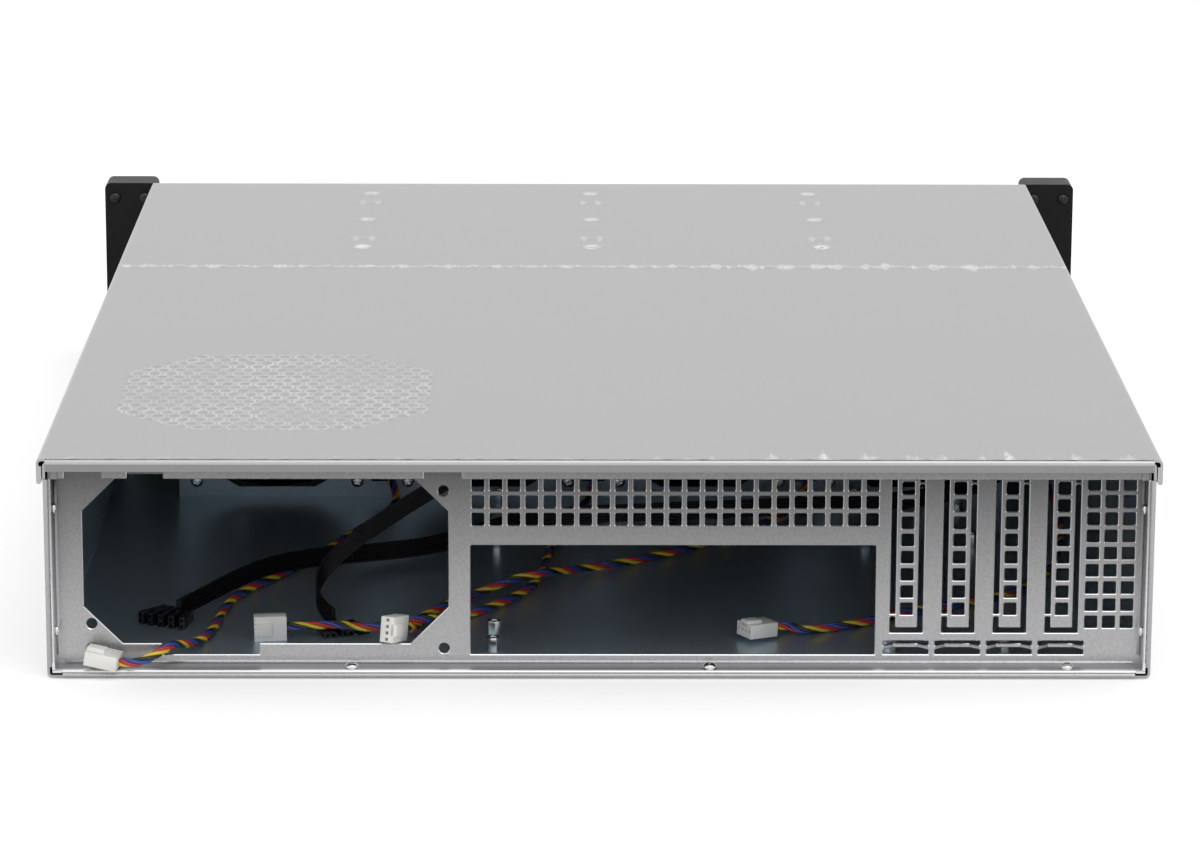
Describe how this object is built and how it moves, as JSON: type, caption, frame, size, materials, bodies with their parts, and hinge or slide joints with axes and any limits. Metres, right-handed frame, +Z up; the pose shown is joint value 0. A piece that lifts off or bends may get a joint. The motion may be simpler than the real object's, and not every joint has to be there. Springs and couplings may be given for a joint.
{
  "type": "rackmount server case",
  "caption": "Empty low rackmount computer case: open rear panel with card slots, filmed lift-off cover, fan wall, drive trays with levers and black rack ears.",
  "frame": {"origin": "centre of the footprint, on the underside of the floor", "axes": "+X right as seen from the front, +Y towards the rear panel, +Z up"},
  "size_m": [0.4826, 0.5714, 0.0881],
  "materials": {
    "steel": "galvanised, satin",
    "cover_steel": "satin under clear film",
    "film": "thin clear protective film",
    "black_paint": "satin black",
    "black_plastic": "matt black",
    "grey_plastic": "satin dark grey",
    "circuit_board": "satin green",
    "white_plastic": "ivory",
    "wire": "twisted wires",
    "ribbon": "black",
    "screw": "bright",
    "standoff": "nickel plated"
  },
  "bodies": {
    "chassis": {"chassis_tray": "steel", "rear_panel": "steel", "front_top_panel": "cover_steel", "front_film": "film", "front_panel": "black_paint", "bay_side_left": "steel", "bay_side_right": "steel", "bay_divider_1": "steel", "bay_divider_2": "steel", "bay_divider_3": "steel", "backplane_board": "circuit_board", "backplane_sockets": "black_plastic", "fan_wall": "steel", "fan_frame_1": "black_plastic", "fan_frame_2": "black_plastic", "fan_frame_3": "black_plastic", "fan_frame_4": "black_plastic", "ear_left": "black_plastic", "ear_right": "black_plastic", "usb_sockets": "screw", "board_standoffs": "standoff", "panel_screws": "screw", "side_rivets": "screw", "fan_screws": "screw", "ear_screws": "screw", "cover_screws": "screw", "fan_cable_1": "wire", "fan_cable_2": "wire", "fan_cable_3": "wire", "fan_cable_4": "wire", "fan_connectors": "white_plastic", "ear_ribbon": "ribbon", "port_ribbon": "ribbon", "header_plugs": "black_plastic"},
    "cover": {"top_cover": "cover_steel", "cover_film": "film"},
    "tray_1": {"drive_tray_1": "black_plastic"},
    "lever_1": {"tray_lever_1": "grey_plastic"},
    "tray_2": {"drive_tray_2": "black_plastic"},
    "lever_2": {"tray_lever_2": "grey_plastic"},
    "tray_3": {"drive_tray_3": "black_plastic"},
    "lever_3": {"tray_lever_3": "grey_plastic"},
    "tray_4": {"drive_tray_4": "black_plastic"},
    "lever_4": {"tray_lever_4": "grey_plastic"},
    "tray_5": {"drive_tray_5": "black_plastic"},
    "lever_5": {"tray_lever_5": "grey_plastic"},
    "tray_6": {"drive_tray_6": "black_plastic"},
    "lever_6": {"tray_lever_6": "grey_plastic"},
    "tray_7": {"drive_tray_7": "black_plastic"},
    "lever_7": {"tray_lever_7": "grey_plastic"},
    "tray_8": {"drive_tray_8": "black_plastic"},
    "lever_8": {"tray_lever_8": "grey_plastic"},
    "fan_1": {"fan_rotor_1": "black_plastic"},
    "fan_2": {"fan_rotor_2": "black_plastic"},
    "fan_3": {"fan_rotor_3": "black_plastic"},
    "fan_4": {"fan_rotor_4": "black_plastic"},
    "power_key": {"power_button": "grey_plastic"},
    "reset_key": {"reset_button": "grey_plastic"}
  },
  "joints": [
    {"name": "cover_lift", "type": "slide", "parent": "chassis", "child": "cover", "axis": [0, 0, 1], "range_m": [0, 0.12]},
    {"name": "tray_1_slide", "type": "slide", "parent": "chassis", "child": "tray_1", "axis": [0, -1, 0], "range_m": [0, 0.18]},
    {"name": "lever_1_hinge", "type": "hinge", "parent": "tray_1", "child": "lever_1", "pos_m": [0.1188, -0.2754, 0.0159], "axis": [0, 0, -1], "range_deg": [0, 70]},
    {"name": "tray_2_slide", "type": "slide", "parent": "chassis", "child": "tray_2", "axis": [0, -1, 0], "range_m": [0, 0.18]},
    {"name": "lever_2_hinge", "type": "hinge", "parent": "tray_2", "child": "lever_2", "pos_m": [0.0115, -0.2754, 0.0159], "axis": [0, 0, -1], "range_deg": [0, 70]},
    {"name": "tray_3_slide", "type": "slide", "parent": "chassis", "child": "tray_3", "axis": [0, -1, 0], "range_m": [0, 0.18]},
    {"name": "lever_3_hinge", "type": "hinge", "parent": "tray_3", "child": "lever_3", "pos_m": [-0.0958, -0.2754, 0.0159], "axis": [0, 0, -1], "range_deg": [0, 70]},
    {"name": "tray_4_slide", "type": "slide", "parent": "chassis", "child": "tray_4", "axis": [0, -1, 0], "range_m": [0, 0.18]},
    {"name": "lever_4_hinge", "type": "hinge", "parent": "tray_4", "child": "lever_4", "pos_m": [-0.2031, -0.2754, 0.0159], "axis": [0, 0, -1], "range_deg": [0, 70]},
    {"name": "tray_5_slide", "type": "slide", "parent": "chassis", "child": "tray_5", "axis": [0, -1, 0], "range_m": [0, 0.18]},
    {"name": "lever_5_hinge", "type": "hinge", "parent": "tray_5", "child": "lever_5", "pos_m": [0.1188, -0.2754, 0.0449], "axis": [0, 0, -1], "range_deg": [0, 70]},
    {"name": "tray_6_slide", "type": "slide", "parent": "chassis", "child": "tray_6", "axis": [0, -1, 0], "range_m": [0, 0.18]},
    {"name": "lever_6_hinge", "type": "hinge", "parent": "tray_6", "child": "lever_6", "pos_m": [0.0115, -0.2754, 0.0449], "axis": [0, 0, -1], "range_deg": [0, 70]},
    {"name": "tray_7_slide", "type": "slide", "parent": "chassis", "child": "tray_7", "axis": [0, -1, 0], "range_m": [0, 0.18]},
    {"name": "lever_7_hinge", "type": "hinge", "parent": "tray_7", "child": "lever_7", "pos_m": [-0.0958, -0.2754, 0.0449], "axis": [0, 0, -1], "range_deg": [0, 70]},
    {"name": "tray_8_slide", "type": "slide", "parent": "chassis", "child": "tray_8", "axis": [0, -1, 0], "range_m": [0, 0.18]},
    {"name": "lever_8_hinge", "type": "hinge", "parent": "tray_8", "child": "lever_8", "pos_m": [-0.2031, -0.2754, 0.0449], "axis": [0, 0, -1], "range_deg": [0, 70]},
    {"name": "fan_1_spin", "type": "hinge", "parent": "chassis", "child": "fan_1", "pos_m": [0.141, -0.0015, 0.0437], "axis": [0, 1, 0], "continuous": true},
    {"name": "fan_2_spin", "type": "hinge", "parent": "chassis", "child": "fan_2", "pos_m": [0.047, -0.0015, 0.0437], "axis": [0, 1, 0], "continuous": true},
    {"name": "fan_3_spin", "type": "hinge", "parent": "chassis", "child": "fan_3", "pos_m": [-0.047, -0.0015, 0.0437], "axis": [0, 1, 0], "continuous": true},
    {"name": "fan_4_spin", "type": "hinge", "parent": "chassis", "child": "fan_4", "pos_m": [-0.141, -0.0015, 0.0437], "axis": [0, 1, 0], "continuous": true},
    {"name": "power_press", "type": "slide", "parent": "chassis", "child": "power_key", "axis": [0, 1, 0], "range_m": [0, 0.0012], "stiffness_N_per_m": 600, "springref_m": -0.001},
    {"name": "reset_press", "type": "slide", "parent": "chassis", "child": "reset_key", "axis": [0, 1, 0], "range_m": [0, 0.0012], "stiffness_N_per_m": 600, "springref_m": -0.001}
  ]
}
